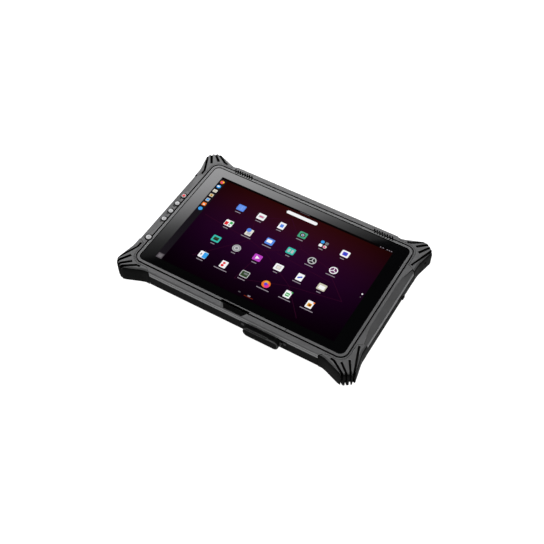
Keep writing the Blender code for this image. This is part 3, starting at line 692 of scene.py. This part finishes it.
def key_shape(name, node):
    """A key: a black body with a flange and a stem below, a domed silver cap on top, and its mark."""
    low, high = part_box(node)
    centre = Vector(((low.x + high.x) / 2, (low.y + high.y) / 2, 0))
    flange = (high.x - low.x) / 2
    body = flange - 0.85 * MM
    crown = body - 0.5 * MM
    stem = 1.0 * MM
    top = high.z
    step = top - 0.8 * MM
    flange_top, flange_foot = top - 4.5 * MM, top - 5.3 * MM
    dome = ((0.3, 0.02), (0.6, 0.09), (0.82, 0.22), (0.94, 0.4), (1.0, 0.62))  # share of radius, drop in mm
    profile = [
        (0, top),
        *((crown * share, top - drop * MM) for share, drop in dome),
        (crown, step + 0.02 * MM),
        (crown + 0.04 * MM, step),
        (body - 0.08 * MM, step),
        (body, step - 0.08 * MM),
        (body, flange_top),
        (flange, flange_top),
        (flange, flange_foot),
        (stem, flange_foot),
        (stem, low.z),
        (0, low.z),
    ]
    key = turned(name, profile, centre)
    cap_foot = top - 0.35 * MM
    for face in key.data.polygons:
        face.material_index = 0 if face.center.z > cap_foot else 1
    smooth(key, 40)
    dress(key, BODY_OF[node], SLOT_OF[node], "key_cap", "key_body")
    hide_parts(node)
    marked = name == MARKED_KEY
    outline = disc(1.6 * MM) if marked else rounded(0.35 * MM, 1.8 * MM, 0.15 * MM)
    symbol = bmesh.new()
    add_plate(symbol, shifted(outline, centre.x, centre.y), top - 0.12 * MM, top + 0.03 * MM)
    mark = new_object(name + "_mark", symbol)
    dress(mark, BODY_OF[node], SLOT_OF[node], "key_mark" if marked else "key_body")


# Picture. Its outlines take their places and sizes in millimetres.


def tile(x, y, width, height, radius):
    return shifted(rounded(width * MM, height * MM, radius * MM), x * MM, y * MM)


def spot(x, y, radius):
    return shifted(disc(radius * MM), x * MM, y * MM)


def triangle(*points):
    return [(x * MM, y * MM) for x, y in points]


def stroke(x0, y0, x1, y1, width):
    """A thin straight line as an outline."""
    along = Vector((x1 - x0, y1 - y0)).normalized() * width / 2
    nx, ny = -along.y, along.x
    points = [(x0 + nx, y0 + ny), (x0 - nx, y0 - ny), (x1 - nx, y1 - ny), (x1 + nx, y1 + ny)]
    return [(px * MM, py * MM) for px, py in points]


def spokes(radius, width, colour):
    """Three strokes from the middle of a wheel, with their colour."""
    ends = [(radius * math.cos(angle), radius * math.sin(angle)) for angle in SPOKE_ANGLES]
    return [(stroke(0, 0, *end, width), colour) for end in ends]


SPOKE_ANGLES = (1.57, 3.67, 5.76)  # in radians
ICON_HALF = 4.8
SQUARE = tile(0, 0, 2 * ICON_HALF, 8.8, 1.2)
ROUND = spot(0, 0, ICON_HALF)
PAGE = tile(0, 0, 7.4, 2 * ICON_HALF, 0.6)
DOCK_ROUND = spot(0, 0, 2.5)
ICON_DESIGNS = {
    "sheet": [
        (SQUARE, "blue"),
        *((tile(0, row, 7.0, 0.5, 0.2), "sky") for row in (-2.4, -0.8, 0.8, 2.4)),
        (tile(1.0, 0, 0.5, 6.0, 0.2), "sky"),
    ],
    "card": [(SQUARE, "white"), (tile(0, 0, 6.6, 3.4, 0.5), "silver"), (tile(0, 0, 4.4, 1.4, 0.4), "pink")],
    "page_blue": [(PAGE, "white"), (tile(0, 0, 4.0, 4.6, 0.4), "blue")],
    "dial": [
        (SQUARE, "leaf"),
        (spot(0, 0, 3.0), "dark"),
        (spot(0, 0, 1.8), "stone"),
        (spot(0, 0, 1.0), "navy"),
    ],
    "dots": [
        (spot(-2.6, 2.6, 2.1), "azure"),
        (tile(2.6, 2.6, 3.6, 3.6, 0.8), "steel"),
        (tile(-2.6, -2.6, 3.8, 3.8, 0.8), "white"),
        (spot(2.6, -2.6, 2.1), "paper"),
        (spot(2.2, -2.9, 1.3), "pink"),
    ],
    "disc_violet": [(SQUARE, "white"), (tile(0, 0, 5.6, 5.2, 1.2), "violet"), (spot(0, 0, 1.5), "navy")],
    "split": [
        (SQUARE, "white"),
        (tile(-2.4, -1.0, 3.8, 5.0, 0.4), "red"),
        (tile(2.4, 1.6, 3.6, 3.4, 0.4), "green"),
        (tile(1.6, -2.2, 2.0, 2.0, 0.3), "steel"),
    ],
    "page_ball": [
        (PAGE, "paper"),
        (tile(0.4, -1.6, 4.6, 3.6, 0.5), "silver"),
        (spot(-1.6, 2.8, 2.7), "blue"),
    ],
    "window": [(SQUARE, "blue"), (tile(-0.6, 0.4, 6.0, 4.4, 0.6), "white")],
    "teal_tiles": [(SQUARE, "teal"), *((tile(x, 0, 2.6, 4.6, 0.5), "silver") for x in (-2.0, 2.0))],
    "wheel": [(ROUND, "silver"), (spot(0, 0, 3.6), "dark"), *spokes(3.6, 1.0, "silver")],
    "wheel_plum": [(ROUND, "white"), (spot(0, 0, 3.7), "plum"), *spokes(3.5, 0.9, "white")],
    "picture": [
        (SQUARE, "teal"),
        (tile(0, 0, 6.0, 4.6, 0.5), "forest"),
        (tile(0, -1.2, 4.6, 1.4, 0.3), "dark"),
    ],
    "ring": [
        (ROUND, "silver"),
        (spot(0, 0, 3.9), "steel"),
        (spot(0, 0, 3.2), "silver"),
        (spot(0, 0, 1.5), "steel"),
    ],
    "play": [(SQUARE, "magenta"), (triangle((-1.9, -2.4), (2.6, 0), (-1.9, 2.4)), "white")],
    "pad": [(SQUARE, "white"), (tile(0, 0, 5.4, 5.0, 0.5), "silver"), (tile(0, 0, 4.2, 3.8, 0.4), "paper")],
    "pen": [(PAGE, "white"), (stroke(-2.2, -1.6, 2.2, 1.4, 1.9), "navy")],
    "folder": [(SQUARE, "stone"), (tile(0.2, -0.4, 6.6, 5.0, 0.4), "white")],
    "halves": [
        (SQUARE, "white"),
        (tile(2.4, 0, 4.8, 8.0, 0.8), "azure"),
        (tile(-2.4, 0, 1.4, 2.6, 0.3), "steel"),
    ],
    "page_dots": [(PAGE, "white"), (spot(-0.4, 1.8, 1.5), "red"), (spot(-0.9, -1.8, 1.7), "red")],
    "landscape": [
        (SQUARE, "silver"),
        (tile(0, 0, 8.0, 6.8, 0.4), "forest"),
        (tile(0.8, 0.8, 4.4, 2.4, 0.8), "steel"),
    ],
    "ball": [
        (ROUND, "orange"),
        (spot(1.4, -1.6, 2.9), "pink"),
        (spot(-0.6, 2.2, 2.2), "amber"),
        (spot(-0.2, -0.1, 2.0), "violet"),
    ],
    "page_green": [
        (PAGE, "white"),
        (tile(0, -0.6, 4.6, 4.6, 0.4), "green"),
        (tile(0, -0.6, 3.4, 1.0, 0.2), "white"),
        (tile(3.2, 3.8, 1.9, 1.9, 0.3), "green"),
    ],
    "page_orange": [
        (PAGE, "white"),
        (tile(0, -0.6, 4.6, 4.6, 0.4), "amber"),
        (spot(0.4, -0.8, 1.4), "rust"),
        (tile(3.2, 3.8, 1.9, 1.9, 0.3), "orange"),
    ],
    "dock_round": [(DOCK_ROUND, "orange"), (spot(-0.3, -0.5, 1.4), "pink"), (spot(1.3, 0.6, 0.9), "lemon")],
    "dock_mail": [(DOCK_ROUND, "azure"), (tile(-0.6, 0.4, 3.0, 2.2, 0.9), "white")],
    "dock_folder": [(tile(0, 0, 4.9, 4.3, 0.5), "paper"), (tile(0, -0.3, 3.5, 2.4, 0.3), "stone")],
    "dock_disc": [
        (tile(0, 0, 4.7, 4.5, 0.5), "stone"),
        (spot(0, 0, 1.5), "amber"),
        (spot(0, 0, 0.7), "dark"),
    ],
    "dock_page": [(tile(0, 0, 4.2, 5.0, 0.4), "silver"), (tile(0, 0, 2.6, 2.8, 0.3), "azure")],
    "dock_bag": [(tile(0, 0, 4.9, 4.9, 0.8), "orange"), (tile(0, -0.4, 2.4, 2.2, 0.3), "paper")],
    "dock_help": [(DOCK_ROUND, "azure"), (spot(0, 0, 0.9), "blue")],
}


ICON_COLUMNS = (-65.3, -39.2, -13.1, 13.0, 39.1, 65.2)
ICON_ROWS = (
    (38.2, ("sheet", "card", "page_blue", "dial", "dots", "disc_violet")),
    (12.0, ("split", "page_ball", "window", "teal_tiles", "wheel", "wheel_plum")),
    (-14.0, ("picture", "ring", "play", "pad", "pen", "folder")),
    (-40.0, ("halves", "page_dots", "landscape", "ball", "page_green", "page_orange")),
)
LABEL_WIDTHS = ((7, 7, 6, 8, 5, 5), (6, 12, 11, 5, 10, 11), (5, 5, 6, 5, 10, 5), (8, 16, 9, 15, 14, 15))
LABEL_DROP = 7.5  # how far a label is below its icon
DOCK_X = -104.3
DOCK_ICONS = ("dock_round", "dock_mail", "dock_folder", "dock_disc", "dock_page", "dock_bag", "dock_help")
DOCK_TOP = 60.5
DOCK_PITCH = 7.65
GRID_BUTTON = (DOCK_X + 0.1, -64.2)
TOP_BAR_Y = 66.4
FIXED_TILES = (
    (DOCK_X, 0, 8.3, 135.4, 0.1, "dock", 2),
    (0, TOP_BAR_Y, 216.9, 2.8, 0.1, "bar", 3),
    (0.1, 59.7, 38.4, 4.4, 2.1, "white", 2),
    (0, TOP_BAR_Y, 12.5, 0.8, 0.3, "faint", 4),
    *((x, TOP_BAR_Y, 1.5, 0.9, 0.3, "label", 4) for x in (93.5, 96.6, 101.5, 104.0, 106.5)),
    (*GRID_BUTTON, 7.0, 7.0, 0.4, "faint", 4),
    (*GRID_BUTTON, 4.4, 4.4, 0.4, "grid", 5),
    (-5.8, -62.6, 2.8, 1.3, 0.3, "faint", 2),
    (5.8, -62.6, 3.2, 1.6, 0.3, "label", 3),
    (5.9, -64.1, 10.8, 0.7, 0.3, "rust", 2),
)  # place, width, height, corner radius, colour and layer of what is there besides icons
BACKGROUND_LINES = (
    (-75, -46, -33, 3),
    (-33, 3, -12, -2),
    (-12, -2, 35, -30),
    (35, -30, 62, -62),
    (-12, -2, 22, 20),
    (22, 20, 58, 12),
    (58, 12, 92, -20),
    (-33, 3, -44, 34),
    (-44, 34, -8, 52),
    (-8, 52, 22, 20),
    (-12, -2, -20, -50),
    (-20, -50, 35, -30),
    (92, -20, 35, -30),
    (-95, 10, -33, 3),
    (2, 2, 70, -4),
)


def icon_plates(x, y, design, layer):
    """The plates of one icon, each with its colour and its layer, from the lowest layer up."""
    plates = enumerate(ICON_DESIGNS[design], layer)
    return [(shifted(outline, x * MM, y * MM), colour, level) for level, (outline, colour) in plates]


def picture_plates():
    """Everything that the picture shows over its background: outline, colour and layer."""
    plates = [(stroke(*line, 0.45), "line", 1) for line in BACKGROUND_LINES]
    plates += [(tile(*numbers), colour, layer) for *numbers, colour, layer in FIXED_TILES]
    for (y, row), widths in zip(ICON_ROWS, LABEL_WIDTHS):
        for x, design, width in zip(ICON_COLUMNS, row, widths):
            plates += icon_plates(x, y, design, 2)
            plates.append((tile(x, y - LABEL_DROP, width, 1.0, 0.4), "label", 2))
    for i, design in enumerate(DOCK_ICONS):
        plates += icon_plates(DOCK_X, DOCK_TOP - i * DOCK_PITCH, design, 4)
    plates.append((spot(105.7, -0.5, 0.9), "white", 2))
    plates.append((spot(105.7, -5.0, 0.7), "faint", 2))
    return plates


def make_picture():
    low = GLASS_TOP + PICTURE_THICK
    background = bmesh.new()
    outline = rounded(2 * PICTURE_HALF[0], 2 * PICTURE_HALF[1], 0.2 * MM)
    add_plate(background, shifted(outline, PICTURE_X, 0), GLASS_TOP, low)
    dress(new_object("picture_background", background), "tablet", "display", "wallpaper")
    colours = list(SCREEN_COLOURS)
    content = bmesh.new()
    for outline, colour, layer in picture_plates():
        add_plate(content, shifted(outline, PICTURE_X, 0), low, low + layer * LAYER, colours.index(colour))
    looks = ["screen_" + colour for colour in colours]
    dress(new_object("picture_content", content), "tablet", "display", *looks)


# Small parts of the back


def make_dock_contacts():
    """Two rows of gold contacts on the dock connector."""
    low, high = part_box("dock_connector")
    middle = (low.y + high.y) / 2
    contacts = bmesh.new()
    for row in (-1.7 * MM, 1.7 * MM):
        for i in range(8):
            outline = shifted(disc(0.9 * MM, 16), (i - 3.5) * 4.2 * MM, middle + row)
            add_plate(contacts, outline, low.z - 0.15 * MM, low.z + 0.3 * MM)
    dress(new_object("dock_contacts", contacts), "tablet", "connector_steel", "gold")


def make_battery_grip():
    """Grip ribs near one edge of the battery."""
    low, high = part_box("battery_pack")
    ribs = bmesh.new()
    rib = rounded(46 * MM, 1.1 * MM, 0.5 * MM)
    for i in range(7):
        outline = shifted(rib, 0, low.y + (8 + i * 2.4) * MM)
        add_plate(ribs, outline, low.z - 0.35 * MM, low.z + 0.3 * MM)
    dress(new_object("battery_grip", ribs), "tablet", "battery_case", "battery")


# Light, floor and camera


def camera_axes():
    """The camera's right, its up, and the way from what it looks at back to it."""
    azimuth, elevation, roll = (math.radians(a) for a in (CAMERA_AZIMUTH, CAMERA_ELEVATION, CAMERA_ROLL))
    level = Vector((math.cos(azimuth), math.sin(azimuth), 0))
    ahead = Vector((-math.sin(azimuth), math.cos(azimuth), 0))
    back = Vector((0, 0, math.sin(elevation))) - ahead * math.cos(elevation)
    up = back.cross(level)
    right = level * math.cos(roll) + up * math.sin(roll)
    return right, up * math.cos(roll) - level * math.sin(roll), back


def make_camera():
    right, up, back = camera_axes()
    data = bpy.data.cameras.new("camera")
    data.lens = LENS
    data.sensor_width = 36
    data.clip_start = 0.01
    camera = bpy.data.objects.new("camera", data)
    camera.location = CAMERA_TARGET + back * CAMERA_DISTANCE
    camera.rotation_mode = "QUATERNION"
    camera.rotation_quaternion = Matrix((right, up, back)).transposed().to_quaternion()
    bpy.context.scene.collection.objects.link(camera)
    bpy.context.scene.camera = camera
    return camera


def mirrored(eye, x, y, height):
    """Where a ray from the eye to a point of the glass meets a level after the glass reflects it."""
    reach = (height - GLASS_TOP) / (eye.z - GLASS_TOP)
    return Vector((x + (x - eye.x) * reach, y + (y - eye.y) * reach, height))


def softbox_look(eye):
    """Light that gets stronger along the sheet, so that its reflection fades over the glass."""
    start, end = (
        mirrored(eye, *(SOFTBOX_ALONG * place), SOFTBOX_HEIGHT).to_2d().dot(SOFTBOX_ALONG)
        for place in SOFTBOX_SPAN
    )
    look = Look("softbox_light")
    geometry = look.add("ShaderNodeNewGeometry")
    dot = look.add("ShaderNodeVectorMath", operation="DOT_PRODUCT")
    look.links.new(geometry.outputs["Position"], dot.inputs[0])
    dot.inputs[1].default_value = (*SOFTBOX_ALONG, 0)
    place = look.spread(dot.outputs["Value"], 0.0, 1.0, start, end)
    strongest = SOFTBOX_FADE[-1][1]
    stops = [(share, grey(radiance / strongest)) for share, radiance in SOFTBOX_FADE]
    light = look.add("ShaderNodeEmission")
    light.inputs["Strength"].default_value = strongest
    look.links.new(look.ramp(place, *stops), light.inputs["Color"])
    look.links.new(light.outputs["Emission"], look.nodes["Material Output"].inputs["Surface"])
    return look.material


def make_softbox(eye):
    """A sheet of light in three parts, of which only the first is mirrored."""
    material = softbox_look(eye)
    aside = Vector((-SOFTBOX_EDGE.y, SOFTBOX_EDGE.x))
    for name, (left, right), (near, far), mirrors in SOFTBOX_SHEETS:
        shape = bmesh.new()
        ends = ((left, near), (right, near), (right, far), (left, far))
        corners = [SOFTBOX_CORNER + SOFTBOX_EDGE * a + aside * b for a, b in ends]
        shape.faces.new([shape.verts.new(mirrored(eye, *corner, SOFTBOX_HEIGHT)) for corner in corners])
        sheet = new_object(name, shape)
        sheet.data.materials.append(material)
        sheet.visible_camera = False
        sheet.visible_glossy = mirrors


def add_area(name, place, size, power, mirrors):
    """A square lamp that faces the middle of the tablet."""
    data = bpy.data.lights.new(name, "AREA")
    data.energy = power
    data.size = size
    light = bpy.data.objects.new(name, data)
    light.location = place
    light.rotation_euler = (-Vector(place)).to_track_quat("-Z", "Y").to_euler()
    light.visible_camera = False
    light.visible_glossy = mirrors
    bpy.context.scene.collection.objects.link(light)


def make_floor():
    """A pale floor, just clear of the lowest faces of the tablet."""
    shape = bmesh.new()
    bmesh.ops.create_grid(shape, x_segments=1, y_segments=1, size=6)
    floor = new_object("floor", shape)
    floor.location.z = -0.1 * MM
    look = Look("floor_white")
    paper = look.noise(4 * MM, detail=3)
    look.feed("Base Color", look.ramp(paper, (0.3, (0.3, 0.3, 0.3, 1)), (0.7, (0.33, 0.33, 0.33, 1))))
    look.set(Roughness=0.9, Specular_IOR_Level=0.1)
    look.set(Emission_Color=(1, 1, 1, 1), Emission_Strength=0.97)
    floor.data.materials.append(look.material)


def make_stage():
    """Camera, lights, floor and surroundings."""
    camera = make_camera()
    make_softbox(camera.location)
    add_area("overhead", (0.35, -0.35, 2.2), 1.6, 40, True)
    add_area("left", (-1.9, 0.1, 0.9), 1.0, 22, False)
    make_floor()
    world = bpy.data.worlds.new("world")
    world.use_nodes = True
    background = world.node_tree.nodes["Background"]
    background.inputs["Color"].default_value = (1, 1, 1, 1)
    background.inputs["Strength"].default_value = 0.015
    bpy.context.scene.world = world
    bpy.context.scene.view_settings.view_transform = "Standard"


make_stage()
paint_nodes()
make_shells()
for key_name, key_node in KEYS.items():
    key_shape(key_name, key_node)
make_picture()
make_dock_contacts()
make_battery_grip()
